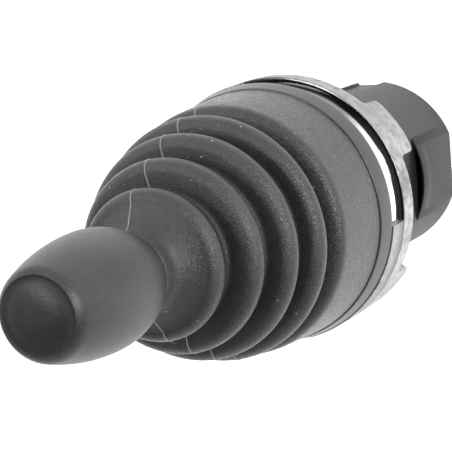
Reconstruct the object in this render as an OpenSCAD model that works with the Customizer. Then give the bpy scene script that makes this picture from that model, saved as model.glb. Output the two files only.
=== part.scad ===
/* Two-axis joystick head for a round panel hole, with a rubber bellows boot.
   +Z runs along the stick towards the knob. The origin is on the axis, in the
   plane where the lugs of the front ring stand on the panel. */

/* [Knob and stick] */
// Diameter of the knob at its widest
knob_d = 12.5; // [11:0.5:16]
// Length of the knob
knob_len = 18; // [15:0.5:24]
// Diameter of the knob where it meets the bellows
knob_rear_d = 9.4; // [9:0.2:10.8]
// Distance from the rear of the knob to its widest place
knob_widest = 6.8; // [5:0.2:8]
// How much narrower the radius gets from the widest place to the front
knob_taper = 1.24; // [0.4:0.02:1.6]
// Diameter of the low dome on the knob's front
knob_face_d = 7; // [5:0.2:8]
// Rounding of the edge of that dome
knob_edge_r = 0.9; // [0.5:0.1:1.5]
// Height of the domed front face
knob_dome = 0.25; // [0.1:0.05:0.5]
// Length of the brass insert
insert_len = 10.3; // [7:0.1:11]
// Outer diameter of the brass insert
insert_d = 5.8; // [5.4:0.1:6.6]
// Thread diameter at the top of the stick
thread_d = 4; // [3:0.5:4]
// Diameter of the stick
shaft_d = 5; // [4.5:0.1:5.2]

/* [Bellows] */
// Number of folds above the shoulder
fold_count = 4; // [3:1:5]
// How much narrower the shoulder of the bellows is than its skirt, all round
shoulder_step = 0.6; // [0.4:0.1:1]
// Diameter of the last fold, next to the knob
boot_tip_d = 16.2; // [14:0.2:18]
// How late the folds start to get smaller
boot_curve = 1.93; // [1:0.01:3]
// Distance from the shoulder to the first fold
pitch_first = 4.95; // [4.5:0.05:6]
// Distance between the last two folds
pitch_last = 4.4; // [4:0.05:6]
// Depth of the valleys between the folds
valley_depth = 2.5; // [1.5:0.1:2.6]
// Rounding of the fold edges
fold_edge_r = 0.62; // [0.3:0.02:0.8]
// Distance from a fold's edge down to the valley below it
fold_lip = 1.3; // [1:0.05:1.8]
// Wall of the bellows
boot_wall = 0.8; // [0.5:0.05:1]
// Length of the smooth skirt, from the clamp ring to the shoulder
skirt_len = 8.5; // [7.5:0.1:12]
// How much narrower the skirt is than the clamp ring, all round
skirt_step = 0.5; // [0.3:0.05:0.7]
// Rounding of the shoulder
shoulder_r = 1.5; // [0.8:0.1:2]
// Height of the cone between the last fold and the neck
neck_rise = 3.1; // [2:0.1:5]
// Length of the neck that grips the stick
neck_len = 1.9; // [1.5:0.1:4]

/* [Front ring] */
// Outer diameter of the metal ring
ring_d = 30.8; // [30.4:0.1:34]
// Thickness of the metal ring outside the polished sleeve
ring_wall = 0.75; // [0.6:0.05:0.95]
// Wall of the polished sleeve
sleeve_wall = 3.35; // [3.2:0.05:3.5]
// Length of the lugs that stand on the panel
lug_len = 3.9; // [3:0.1:6]
// Width of the two narrow lugs, in degrees
lug_narrow = 28; // [15:1:40]
// Width of the two wide lugs, in degrees
lug_wide = 44; // [20:1:60]
// Where the first narrow lug stands, in degrees
lug_place = 35; // [30:1:45]
// Length of the flange
flange_len = 3; // [2:0.1:5]
// Length of the polished groove
groove_len = 3.4; // [2:0.1:6]
// Width of the raised lands that bridge the groove, in degrees
land_width = 70; // [30:1:90]
// Where the middle of the first land stands, in degrees
land_place = -41; // [-60:1:-20]
// Length of the clamp ring round the foot of the bellows
band_len = 2.6; // [2:0.1:4]
// How much narrower the clamp ring is than the metal ring, all round
band_step = 0.2; // [0:0.05:0.3]

/* [Barrel] */
// Diameter of the barrel that goes through the panel
barrel_d = 22; // [21.5:0.1:22.3]
// Length of the barrel behind the panel's front face
barrel_len = 24.7; // [22:0.1:34]
// Wall of the barrel
barrel_wall = 3.1; // [2.9:0.1:3.2]
// Depth of the locking notch in the side of the barrel
notch_depth = 1.3; // [0.6:0.1:1.6]
// Distance from the panel plane to the far end of the locking notch
notch_end = 12.1; // [8:0.1:14]
// Depth of the flat at the rear of the barrel
flat_depth = 0.8; // [0.3:0.1:1.2]
// Length of the flat at the rear of the barrel
flat_len = 10; // [4:0.1:12]
// Width of the keyway on top of the barrel
key_w = 3.6; // [2:0.1:4]
// Depth of the keyway
key_depth = 0.5; // [0.3:0.1:0.8]
// Thickness of the base plate
base_t = 2.5; // [2:0.1:3]
// How deep the base plate sits inside the rear rim
base_recess = 2.2; // [1.6:0.1:4]
// Thickness of the panel gasket, from the barrel outwards
gasket_wall = 1.65; // [1.2:0.05:2]
// Thickness of the snap ring that holds the sleeve
snap_t = 0.9; // [0.6:0.1:1]

/* [Mechanism] */
// Largest tilt of the stick each way, in degrees
tilt_max = 12; // [8:1:12]
// Height of the pivot above the sleeve
pivot_rise = 8.7; // [8.5:0.1:9.5]
// Outer diameter of the gimbal ring
gimbal_d = 15.8; // [15.4:0.1:16]
// Wall of the gimbal ring
gimbal_wall = 2.3; // [1.8:0.1:2.4]
// Height of the gimbal ring
gimbal_h = 3.4; // [3:0.1:3.6]
// Height of the hub in the gimbal ring
hub_h = 4; // [3.6:0.1:4.2]
// Diameter of the pivot pins
pin_d = 1.8; // [1.4:0.1:2]
// Diameter of the cam plate
cam_d = 13.2; // [12.6:0.1:13.4]
// Thickness of the cam plate
cam_t = 1.5; // [1.3:0.1:1.7]
// Distance from the stick's axis to each plunger
plunger_place = 4.7; // [4.5:0.1:4.8]
// Diameter of the upper part of a plunger
plunger_d = 3; // [2.6:0.1:3.2]
// Diameter of the lower part of a plunger
plunger_foot_d = 2.4; // [2:0.1:2.5]
// Diameter of a plunger's collar
collar_d = 4.2; // [4:0.1:4.3]
// Thickness of a plunger's collar
collar_t = 1.2; // [0.8:0.1:2]
// Length of a plunger spring
spring_len = 12; // [9:0.1:14]
// Diameter of the spring wire
wire_d = 0.5; // [0.4:0.05:0.6]
// Number of turns of a spring
spring_turns = 7; // [5:1:9]
// Thickness of the guide plate
guide_t = 2; // [1.5:0.1:2.5]
// Thickness of the gate plate
gate_t = 1; // [0.8:0.1:1.2]

/* [Fits] */
// Gap between pieces that are fixed together
seat_gap = 0.05; // [0.02:0.01:0.08]
// Gap between a pin and the hole that turns on it
run_gap = 0.03; // [0.02:0.01:0.08]
// Room left between pieces that swing past each other
swing_gap = 0.3; // [0.25:0.01:0.4]

/* [Hidden] */
$fn = 96;
EAST = 0;
NORTH = 90;
WEST = 180;
SOUTH = 270;
overlap = 0.5;

// Heights along the axis, from the panel upwards
flange_top = lug_len + flange_len;
front_z = flange_top + groove_len;
band_top = front_z + band_len;
shoulder_z = band_top + skirt_len;
pivot_z = front_z + pivot_rise;

// Front ring
ring_r = ring_d / 2;
sleeve_r = ring_r - ring_wall - seat_gap;
sleeve_bore_r = sleeve_r - sleeve_wall;
sleeve_back = lug_len + 0.3;
ring_chamfer = 0.15;

// Barrel: its neck fills the sleeve
barrel_r = barrel_d / 2;
neck_r = sleeve_bore_r - seat_gap;
bore_r = barrel_r - barrel_wall;
head_flange_t = 1.1;
head_top = front_z + head_flange_t;
bead_t = 0.95;
band_r = ring_r - band_step;
skirt_r = band_r - skirt_step;
bead_out_r = skirt_r - 0.8;
bead_in_r = bead_out_r - bead_t;
head_flange_r = bead_in_r - seat_gap;
guide_r = bore_r + 0.35;
guide_seat_r = guide_r + seat_gap;
guide_bottom = head_top - guide_t;
base_top = -barrel_len + base_recess + base_t;
base_r = bore_r + 0.75;
boss_place = bore_r - 1.3;
boss_r = 1.5;
base_screw_r = 0.8;
base_screw_len = 8;

// Snap ring and gasket
snap_top = sleeve_back - seat_gap;
snap_bottom = snap_top - snap_t;
snap_groove_r = neck_r - 0.6;
snap_gap_angle = 40;
gasket_in_r = neck_r + seat_gap;
gasket_r = gasket_in_r + gasket_wall;

// Stick and gimbal
shaft_r = shaft_d / 2;
thread_r = thread_d / 2;
pin_r = pin_d / 2;
gimbal_r = gimbal_d / 2;
gimbal_in_r = gimbal_r - gimbal_wall;
gimbal_sweep_r = norm([gimbal_r, gimbal_h / 2]);
housing_bore_r = gimbal_sweep_r + swing_gap + 0.1;
hub_r = sqrt(pow(gimbal_in_r - swing_gap, 2) - pow(hub_h / 2, 2));
hub_bottom = pivot_z - hub_h / 2;

// Cam plate: its top clears the gimbal ring when the stick is tilted
cam_r = cam_d / 2;
cam_top_drop = (gimbal_h / 2 + swing_gap + cam_r * sin(tilt_max)) / cos(tilt_max);
cam_top = pivot_z - cam_top_drop;
cam_bottom = cam_top - cam_t;
cam_drop = pivot_z - cam_bottom;
cam_boss_r = shaft_r + 0.8;
spigot_r = shaft_r - 0.5;
clip_room = 0.9;
clip_t = 0.55;

// Room above the plungers: a tilted plate reaches lower than the plungers' even travel
corner_cos = cos(tilt_max) * cos(tilt_max);
cam_sag = cam_drop * (1 / corner_cos - 1);
cam_lean = plunger_place * (sin(tilt_max) / corner_cos - tilt_max * PI / 180);
dome_sag = plunger_d / 2 * (1 / corner_cos - 1);
plunger_gap = cam_sag + cam_lean + dome_sag + 0.08;
plunger_top = cam_bottom - plunger_gap;
plunger_r = plunger_d / 2;
foot_r = plunger_foot_d / 2;
collar_r = collar_d / 2;
collar_bottom = base_top + spring_len;
plunger_bottom = -barrel_len + 0.5;
spring_r = collar_r - wire_d / 2 - 0.05;

// Housing and gate: the gate plate clears the gimbal ring and the hub when they are tilted
housing_r = head_flange_r - 0.5;
housing_lip = 0.8;
gimbal_lift = gimbal_r * sin(tilt_max) + gimbal_h / 2 * cos(tilt_max);
hub_lift = hub_r * sin(acos(corner_cos)) + hub_h / 2 * corner_cos;
gate_bottom = pivot_z + max(gimbal_lift, hub_lift) + swing_gap;
gate_top = gate_bottom + gate_t;
gate_r = housing_r - 1.95;
taper_start = gate_bottom - 3.1;
gate_screw_r = 0.7;
gate_screw_head_r = 1.05;
gate_screw_head_h = 0.6;
gate_screw_place = gate_r - gate_screw_head_r;
gate_screw_bottom = front_z - 3.3;
gate_reach = gate_top - pivot_z;
gate_half = shaft_r / cos(tilt_max) + gate_reach * tan(tilt_max) / cos(tilt_max) + 0.15;

// Bellows folds
function fold_pitch(i) = pitch_first + (pitch_last - pitch_first) * i / (fold_count - 1);
function fold_z(i) = i == 0 ? shoulder_z : fold_z(i - 1) + fold_pitch(i - 1);
fold_span = fold_z(fold_count) - shoulder_z;
base_r_boot = skirt_r - shoulder_step;
tip_r_boot = boot_tip_d / 2;
function fold_r(i) =
    base_r_boot - (base_r_boot - tip_r_boot) * pow((fold_z(i) - shoulder_z) / fold_span, boot_curve);
function valley_r(i) = (fold_r(i) + fold_r(i - 1)) / 2 - valley_depth;
function valley_z(i) = fold_z(i) - fold_lip;
groove_rise = 1.25;
function groove_z(i) = i == 1 ? shoulder_z + 1.9 : fold_z(i - 1) + groove_rise;
ferrule_r = shaft_r + 0.7;
neck_in_r = ferrule_r + seat_gap;
neck_out_r = neck_in_r + 1.05;
neck_bottom = fold_z(fold_count) + neck_rise;
neck_top = neck_bottom + neck_len;
ferrule_cap = 0.5;

// Knob
knob_z = neck_top + ferrule_cap + 2 * seat_gap;
knob_top = knob_z + knob_len - knob_dome;
knob_r = knob_d / 2;
knob_rear_r = knob_rear_d / 2;
knob_wide_z = knob_z + knob_widest;
knob_chamfer = 0.3;
insert_z = knob_z + 0.5;
insert_r = insert_d / 2;

function arc_points(r, z, radius, from, to, steps) =
    [for (i = [0:steps]) let (a = from + (to - from) * i / steps) [r + radius * cos(a), z + radius * sin(a)]];

// Ring or tube standing on z = 0
module tube(outer_r, inner_r, height) {
    difference() {
        cylinder(r = outer_r, h = height);
        translate([0, 0, -1])
            cylinder(r = inner_r, h = height + 2);
    }
}

// Part of a tube, between two angles
module sector(inner_r, outer_r, height, from, to) {
    rotate([0, 0, from])
        rotate_extrude(angle = to - from)
            translate([inner_r, 0])
                square([outer_r - inner_r, height]);
}

module at_plunger(direction) {
    rotate([0, 0, direction])
        translate([plunger_place, 0, 0])
            children();
}

module four_around(place, first = 45) {
    for (i = [0:3])
        rotate([0, 0, first + 90 * i])
            translate([place, 0, 0])
                children();
}

function knob_rear_profile(steps) =
    [for (i = [0:steps]) let (u = 1 - i / steps)
        [knob_r - (knob_r - knob_rear_r) * u * u, knob_wide_z - (knob_widest - knob_chamfer) * u]];

module knob() {
    span = knob_top - knob_wide_z;
    face_r = knob_face_d / 2;
    face_lean = atan(2 * knob_dome / face_r);
    edge_r = face_r - knob_edge_r * sin(face_lean);
    edge_z = knob_top - knob_edge_r * cos(face_lean);
    share = 0.75;
    join_r = knob_r - knob_taper * share * share;
    join_z = knob_wide_z + span * share;
    join_lean = 2 * knob_taper * share / span;
    brow_r = edge_r + knob_edge_r * sin(45);
    brow_z = edge_z + knob_edge_r * cos(45);
    brow = (join_r - brow_r - join_lean * (brow_z - join_z)) / (1 - join_lean);
    front = [for (i = [1:5]) let (v = share * i / 5)
        [knob_r - knob_taper * v * v, knob_wide_z + span * v]];
    shoulder = [for (i = [1:6]) let (t = i / 7)
        [join_r * pow(1 - t, 2) + (brow_r + brow) * 2 * t * (1 - t) + brow_r * t * t,
            join_z * pow(1 - t, 2) + (brow_z - brow) * 2 * t * (1 - t) + brow_z * t * t]];
    dome = [for (i = [1:5]) let (q = 1 - i / 5) [face_r * q, knob_top + knob_dome * (1 - q * q)]];
    color("#3a3a3a")
        difference() {
            rotate_extrude()
                polygon(concat(
                    [[0, knob_z], [knob_rear_r - knob_chamfer, knob_z]],
                    knob_rear_profile(8),
                    front,
                    shoulder,
                    arc_points(edge_r, edge_z, knob_edge_r, 45, 90 - face_lean, 4),
                    dome
                ));
            translate([0, 0, knob_z - 1])
                cylinder(r = insert_r + seat_gap, h = insert_z - knob_z + insert_len + 1.2);
        }
}

module knob_insert() {
    color("#b08d3c")
        translate([0, 0, insert_z])
            difference() {
                tube(insert_r, thread_r + seat_gap, insert_len);
                for (i = [0:23])
                    rotate([0, 0, 15 * i])
                        translate([insert_r, 0, 1])
                            rotate([0, 0, 45])
                                translate([-0.12, -0.12, 0])
                                    cube([0.24, 0.24, insert_len - 2]);
            }
}

module stick_shaft() {
    color("#b9bcc0")
        difference() {
            union() {
                translate([0, 0, cam_bottom + 0.1])
                    cylinder(r = spigot_r, h = cam_t);
                translate([0, 0, cam_top])
                    cylinder(r = shaft_r, h = insert_z - seat_gap - cam_top);
                translate([0, 0, insert_z - overlap])
                    cylinder(r = thread_r, h = insert_len - 0.6 + overlap);
                translate([0, 0, insert_z + insert_len - 0.6])
                    cylinder(r1 = thread_r, r2 = thread_r - 0.4, h = 0.4);
            }
            translate([0, 0, pivot_z])
                rotate([90, 0, 0])
                    cylinder(r = pin_r + 0.01, h = 2 * shaft_d, center = true);
            translate([0, 0, cam_bottom + clip_room - clip_t - 0.1])
                tube(shaft_r, spigot_r - 0.4, clip_t + 0.1);
        }
}

module neck_ferrule() {
    color("#8f9296")
        difference() {
            union() {
                translate([0, 0, neck_bottom - 0.5])
                    cylinder(r = ferrule_r, h = neck_len + 0.5 + overlap);
                translate([0, 0, neck_top + seat_gap])
                    cylinder(r = ferrule_r + 0.8, h = ferrule_cap);
            }
            translate([0, 0, neck_bottom - 2])
                cylinder(r = shaft_r + seat_gap, h = neck_len + 6);
        }
}

function fold_edge(i) =
    arc_points(fold_r(i) - fold_edge_r, fold_z(i), fold_edge_r, -90, i == fold_count ? 50 : 75, 6);
function outer_folds() =
    [for (i = [1:fold_count]) each concat(
        [
            [valley_r(i) + 0.6, groove_z(i) - 0.15],
            [valley_r(i) + 0.15, groove_z(i) + 0.15],
            [valley_r(i), groove_z(i) + 0.6],
            [valley_r(i), valley_z(i) + 0.15]
        ],
        fold_edge(i)
    )];
function inner_folds() =
    [for (i = [fold_count:-1:1]) each [
        [fold_r(i) - boot_wall - 0.2, fold_z(i) + 0.1],
        [valley_r(i) - boot_wall, valley_z(i) + 0.6],
        [valley_r(i) - boot_wall, groove_z(i) - boot_wall]
    ]];

module bellows() {
    foot_z = front_z + seat_gap;
    skirt_z = band_top + seat_gap;
    color("#3f3f3f")
        rotate_extrude()
            polygon(concat(
                [
                    [bead_in_r, foot_z],
                    [bead_out_r, foot_z],
                    [bead_out_r, skirt_z],
                    [skirt_r - 0.1, skirt_z],
                    [skirt_r, skirt_z + 0.1]
                ],
                arc_points(base_r_boot - shoulder_r, shoulder_z, shoulder_r, 0, 75, 7),
                outer_folds(),
                [
                    [neck_out_r, neck_bottom],
                    [neck_out_r, neck_top],
                    [neck_in_r, neck_top],
                    [neck_in_r, neck_bottom - 0.3]
                ],
                inner_folds(),
                [
                    [base_r_boot - boot_wall - 0.5, shoulder_z + 0.6],
                    [base_r_boot - boot_wall, shoulder_z - shoulder_r],
                    [base_r_boot - boot_wall, skirt_z + 1.5],
                    [bead_in_r, skirt_z + 0.6]
                ]
            ));
}

module clamp_ring() {
    top_r = skirt_r + 0.1;
    in_r = bead_out_r + seat_gap;
    color("#46443f")
        rotate_extrude()
            polygon([
                [in_r, front_z],
                [band_r - 0.15, front_z],
                [band_r, front_z + 0.15],
                [top_r, band_top - 0.15],
                [top_r - 0.15, band_top],
                [in_r, band_top]
            ]);
}

module chrome_sleeve() {
    color("#dfe2e6")
        rotate_extrude()
            polygon([
                [sleeve_bore_r, sleeve_back],
                [sleeve_r - 0.2, sleeve_back],
                [sleeve_r, sleeve_back + 0.2],
                [sleeve_r, front_z - seat_gap],
                [sleeve_bore_r + 0.2, front_z - seat_gap],
                [sleeve_bore_r, front_z - 0.2 - seat_gap]
            ]);
}

module lug_ring() {
    in_r = sleeve_r + seat_gap;
    lug_r = ring_r - 0.05;
    c = ring_chamfer;
    color("#a9abae")
        difference() {
            rotate_extrude()
                polygon([
                    [in_r, 0],
                    [lug_r - c, 0],
                    [lug_r, c],
                    [lug_r, lug_len + c],
                    [ring_r, lug_len + 2 * c],
                    [ring_r, flange_top - c],
                    [lug_r, flange_top],
                    [lug_r, front_z - seat_gap],
                    [in_r, front_z - seat_gap]
                ]);
            for (i = [0:1])
                rotate([0, 0, 180 * i]) {
                    translate([0, 0, -1]) {
                        sector(in_r - 1, ring_r + 1, lug_len + 1,
                            lug_place + lug_narrow / 2, lug_place + 90 - lug_wide / 2);
                        sector(in_r - 1, ring_r + 1, lug_len + 1,
                            lug_place + 90 + lug_wide / 2, lug_place + 180 - lug_narrow / 2);
                    }
                    translate([0, 0, flange_top])
                        sector(in_r - 1, ring_r + 1, groove_len + 1,
                            land_place + land_width / 2, land_place + 180 - land_width / 2);
                }
        }
}

module snap_ring() {
    color("#6f7276")
        translate([0, 0, snap_bottom])
            sector(snap_groove_r + seat_gap, neck_r + 1.1, snap_t,
                snap_gap_angle / 2 - 90, 270 - snap_gap_angle / 2);
}

module panel_gasket() {
    color("#2b2b2b")
        rotate_extrude()
            polygon([
                [gasket_in_r, 0],
                [gasket_r - 0.3, 0],
                [gasket_r, 0.3],
                [gasket_r, snap_bottom - 0.3 - seat_gap],
                [gasket_r - 0.3, snap_bottom - seat_gap],
                [gasket_in_r, snap_bottom - seat_gap]
            ]);
}

module barrel_shell() {
    c = 0.3;
    rotate_extrude()
        polygon([
            [base_r + seat_gap, -barrel_len],
            [barrel_r - c, -barrel_len],
            [barrel_r, -barrel_len + c],
            [barrel_r, 0],
            [neck_r, 0],
            [neck_r, snap_bottom - seat_gap],
            [snap_groove_r, snap_bottom - seat_gap],
            [snap_groove_r, snap_top + seat_gap / 2],
            [neck_r, snap_top + seat_gap / 2],
            [neck_r, front_z],
            [head_flange_r, front_z],
            [head_flange_r, head_top],
            [guide_seat_r, head_top],
            [guide_seat_r, guide_bottom - seat_gap],
            [bore_r, guide_bottom - seat_gap],
            [bore_r, base_top + seat_gap],
            [base_r + seat_gap, base_top + seat_gap]
        ]);
}

module barrel_housing() {
    far = barrel_d;
    color("#4a4a4b")
        difference() {
            union() {
                barrel_shell();
                translate([0, 0, base_top + seat_gap])
                    four_around(boss_place)
                        cylinder(r = boss_r, h = base_screw_len + 1, $fn = 48);
            }
            translate([barrel_r - notch_depth, -far, -notch_end])
                cube([far, 2 * far, notch_end - 1.5]);
            translate([barrel_r - flat_depth, -far, -barrel_len - 1])
                cube([far, 2 * far, flat_len + 1]);
            translate([-key_w / 2, barrel_r - key_depth, -barrel_len - 1])
                cube([key_w, far, barrel_len + 0.9]);
            translate([0, 0, gate_screw_bottom - 0.3])
                four_around(gate_screw_place)
                    cylinder(r = gate_screw_r + 0.01, h = far, $fn = 32);
            translate([0, 0, base_top - 1])
                four_around(boss_place)
                    cylinder(r = base_screw_r + 0.01, h = base_screw_len + 1, $fn = 32);
        }
}

module pivot_housing() {
    color("#3d4145")
        difference() {
            rotate_extrude()
                polygon([
                    [bore_r, head_top + seat_gap],
                    [housing_r, head_top + seat_gap],
                    [housing_r, taper_start],
                    [gate_r, gate_bottom - seat_gap],
                    [housing_bore_r, gate_bottom - seat_gap],
                    [housing_bore_r, head_top + housing_lip],
                    [bore_r, head_top + housing_lip]
                ]);
            translate([0, 0, pivot_z])
                rotate([0, 90, 0])
                    cylinder(r = pin_r + 0.01, h = 4 * housing_r, center = true, $fn = 48);
            four_around(gate_screw_place)
                cylinder(r = gate_screw_r + 0.01, h = gate_top, $fn = 32);
        }
}

module gate_plate() {
    corner = 2 * shaft_r - 0.2;
    half = gate_half;
    color("#9a9da1")
        translate([0, 0, gate_bottom])
            difference() {
                cylinder(r = gate_r, h = gate_t);
                translate([0, 0, -1])
                    linear_extrude(gate_t + 2)
                        union() {
                            square([2 * half, 2 * half - corner], center = true);
                            square([2 * half - corner, 2 * half], center = true);
                            for (x = [-1, 1], y = [-1, 1])
                                translate([x * (half - corner / 2), y * (half - corner / 2)])
                                    circle(d = corner, $fn = 48);
                        }
                translate([0, 0, -1])
                    four_around(gate_screw_place)
                        cylinder(r = gate_screw_r + 0.05, h = gate_t + 2, $fn = 32);
            }
}

module gate_screws() {
    color("#8b8e92")
        four_around(gate_screw_place)
            difference() {
                union() {
                    translate([0, 0, gate_screw_bottom])
                        cylinder(r = gate_screw_r, h = gate_top - gate_screw_bottom + 0.2, $fn = 32);
                    translate([0, 0, gate_top + 0.02])
                        cylinder(r = gate_screw_head_r, h = gate_screw_head_h, $fn = 32);
                }
                translate([-2, -0.15, gate_top + gate_screw_head_h / 2])
                    cube([4, 0.3, 1]);
            }
}

module gimbal_pins() {
    color("#b9bcc0")
        for (side = [-1, 1])
            translate([side * (gimbal_in_r + 0.3), 0, pivot_z])
                rotate([0, side * 90, 0])
                    cylinder(r = pin_r, h = housing_r - 0.2 - gimbal_in_r - 0.3, $fn = 48);
}

module gimbal_ring() {
    c = 0.3;
    h = gimbal_h / 2;
    color("#a38443")
        difference() {
            translate([0, 0, pivot_z])
                rotate_extrude()
                    polygon([
                        [gimbal_in_r, -h],
                        [gimbal_r - c, -h],
                        [gimbal_r, -h + c],
                        [gimbal_r, h - c],
                        [gimbal_r - c, h],
                        [gimbal_in_r, h]
                    ]);
            for (turn = [0, 90])
                translate([0, 0, pivot_z])
                    rotate([0, 90, turn])
                        cylinder(r = pin_r + run_gap, h = 2 * gimbal_d, center = true, $fn = 48);
        }
}

module pivot_hub() {
    c = 0.4;
    h = hub_h / 2;
    color("#7d8186")
        difference() {
            translate([0, 0, pivot_z])
                rotate_extrude()
                    polygon([
                        [shaft_r + 0.01, -h],
                        [hub_r - c, -h],
                        [hub_r, -h + c],
                        [hub_r, h - c],
                        [hub_r - c, h],
                        [shaft_r + 0.01, h]
                    ]);
            translate([0, 0, pivot_z])
                rotate([90, 0, 0])
                    cylinder(r = pin_r + 0.01, h = 4 * hub_r, center = true, $fn = 48);
        }
}

module cross_pin() {
    color("#b9bcc0")
        translate([0, 0, pivot_z])
            rotate([90, 0, 0])
                cylinder(r = pin_r, h = 2 * (gimbal_r - 0.3), center = true, $fn = 48);
}

module cam_plate() {
    c = 0.3;
    color("#d8d4c8")
        difference() {
            union() {
                rotate_extrude()
                    polygon([
                        [0, cam_bottom],
                        [cam_r - c, cam_bottom],
                        [cam_r, cam_bottom + c],
                        [cam_r, cam_top - c],
                        [cam_r - c, cam_top],
                        [0, cam_top]
                    ]);
                translate([0, 0, cam_top - overlap])
                    cylinder(r = cam_boss_r, h = hub_bottom - cam_top - seat_gap + overlap);
            }
            translate([0, 0, cam_top - seat_gap])
                cylinder(r = shaft_r + 0.01, h = hub_h + cam_t);
            translate([0, 0, cam_bottom - 1])
                cylinder(r = spigot_r + 0.01, h = cam_t + 1);
            translate([0, 0, cam_bottom - 1])
                cylinder(r = spigot_r + 0.9, h = clip_room + 1);
        }
}

module cam_clip() {
    color("#6f7276")
        translate([0, 0, cam_bottom + clip_room - clip_t - seat_gap])
            sector(spigot_r - 0.35, spigot_r + 0.7, clip_t, 30, 330);
}

module guide_plate() {
    color("#d8d4c8")
        difference() {
            translate([0, 0, guide_bottom])
                cylinder(r = guide_r, h = guide_t);
            for (direction = [EAST, NORTH, WEST, SOUTH])
                at_plunger(direction)
                    cylinder(r = plunger_r + run_gap, h = 2 * head_top, $fn = 48);
        }
}

module plunger(direction) {
    rod_bottom = collar_bottom + collar_t;
    c = 0.3;
    color("#c9c5b8")
        at_plunger(direction)
            rotate_extrude($fn = 48)
                polygon(concat(
                    [
                        [0, plunger_bottom],
                        [foot_r - c, plunger_bottom],
                        [foot_r, plunger_bottom + c],
                        [foot_r, collar_bottom],
                        [collar_r, collar_bottom],
                        [collar_r, rod_bottom],
                        [plunger_r, rod_bottom]
                    ],
                    arc_points(0, plunger_top - plunger_r, plunger_r, 0, 90, 8)
                ));
}

module plunger_east() { plunger(EAST); }
module plunger_north() { plunger(NORTH); }
module plunger_west() { plunger(WEST); }
module plunger_south() { plunger(SOUTH); }

// Helix of round wire, closed at both ends
module coil(radius, wire, height, turns) {
    sides = 6;
    per_turn = 12;
    rings = turns * per_turn;
    climb = height - wire;
    points = [for (i = [0:rings], k = [0:sides - 1])
        let (turn = 360 * i / per_turn, b = 360 * k / sides, r = radius + wire / 2 * cos(b))
        [r * cos(turn), r * sin(turn), wire / 2 + climb * i / rings + wire / 2 * sin(b)]];
    skin = [for (i = [0:rings - 1], k = [0:sides - 1])
        let (n = (k + 1) % sides)
        [i * sides + k, i * sides + n, (i + 1) * sides + n, (i + 1) * sides + k]];
    first_end = [for (k = [sides - 1:-1:0]) k];
    last_end = [for (k = [0:sides - 1]) rings * sides + k];
    polyhedron(points, concat(skin, [first_end, last_end]));
}

module plunger_spring(direction) {
    color("#b9bcc0")
        at_plunger(direction)
            translate([0, 0, base_top + seat_gap])
                coil(spring_r, wire_d, spring_len - 2 * seat_gap, spring_turns);
}

module spring_east() { plunger_spring(EAST); }
module spring_north() { plunger_spring(NORTH); }
module spring_west() { plunger_spring(WEST); }
module spring_south() { plunger_spring(SOUTH); }

module base_plate() {
    color("#404346")
        difference() {
            translate([0, 0, base_top - base_t])
                cylinder(r = base_r, h = base_t);
            for (direction = [EAST, NORTH, WEST, SOUTH])
                at_plunger(direction)
                    translate([0, 0, -2 * barrel_len])
                        cylinder(r = foot_r + run_gap, h = 2 * barrel_len, $fn = 48);
            translate([0, 0, -2 * barrel_len])
                four_around(boss_place)
                    cylinder(r = base_screw_r + 0.05, h = 2 * barrel_len, $fn = 32);
        }
}

module base_screws() {
    head_top_z = base_top - base_t - 0.02;
    color("#8b8e92")
        four_around(boss_place)
            difference() {
                union() {
                    translate([0, 0, head_top_z - 0.8])
                        cylinder(r = 1.4, h = 0.8, $fn = 32);
                    translate([0, 0, head_top_z - 0.3])
                        cylinder(r = base_screw_r, h = base_screw_len + base_t - 0.5, $fn = 32);
                }
                translate([-2, -0.2, head_top_z - 1.5])
                    cube([4, 0.4, 1.1]);
            }
}

knob();
knob_insert();
stick_shaft();
neck_ferrule();
bellows();
clamp_ring();
chrome_sleeve();
lug_ring();
snap_ring();
panel_gasket();
barrel_housing();
pivot_housing();
gate_plate();
gate_screws();
gimbal_pins();
gimbal_ring();
pivot_hub();
cross_pin();
cam_plate();
cam_clip();
guide_plate();
plunger_east();
plunger_north();
plunger_west();
plunger_south();
spring_east();
spring_north();
spring_west();
spring_south();
base_plate();
base_screws();
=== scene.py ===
"""Looks of a two-axis joystick head: a knob on a stick, a rubber bellows, a clamp ring, a polished
sleeve in a die-cast ring with lugs, and a plastic barrel. Lengths are in millimetres, except where
they are multiplied by MM or a comment says otherwise, and turns are in degrees."""

import math

import bmesh
import bpy
from mathutils import Euler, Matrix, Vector


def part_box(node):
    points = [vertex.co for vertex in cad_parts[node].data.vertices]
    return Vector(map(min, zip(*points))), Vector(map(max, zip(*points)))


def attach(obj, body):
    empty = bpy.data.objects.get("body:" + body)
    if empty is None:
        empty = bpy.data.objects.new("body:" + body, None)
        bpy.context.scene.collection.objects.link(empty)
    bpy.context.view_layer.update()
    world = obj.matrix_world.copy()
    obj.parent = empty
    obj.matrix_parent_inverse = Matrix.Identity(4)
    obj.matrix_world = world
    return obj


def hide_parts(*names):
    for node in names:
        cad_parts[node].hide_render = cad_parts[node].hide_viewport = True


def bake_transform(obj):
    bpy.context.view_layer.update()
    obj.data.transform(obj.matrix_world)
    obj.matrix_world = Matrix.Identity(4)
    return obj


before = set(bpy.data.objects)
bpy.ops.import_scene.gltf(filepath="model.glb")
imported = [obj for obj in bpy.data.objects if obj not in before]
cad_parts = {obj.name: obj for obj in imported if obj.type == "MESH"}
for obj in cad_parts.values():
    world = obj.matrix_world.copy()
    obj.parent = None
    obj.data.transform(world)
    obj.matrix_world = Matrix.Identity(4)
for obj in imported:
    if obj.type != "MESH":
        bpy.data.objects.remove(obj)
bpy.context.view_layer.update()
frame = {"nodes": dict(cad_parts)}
nodes = frame["nodes"]
scene = bpy.context.scene
MM = 0.001
SIDES = ("east", "north", "west", "south")


def heights(node):
    """Lowest and highest point of a CAD node."""
    low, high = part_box(node)
    return low.z / MM, high.z / MM


def outer_radius(node):
    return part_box(node)[1].x / MM


# ---------------------------------------------------------------- camera and light

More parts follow.
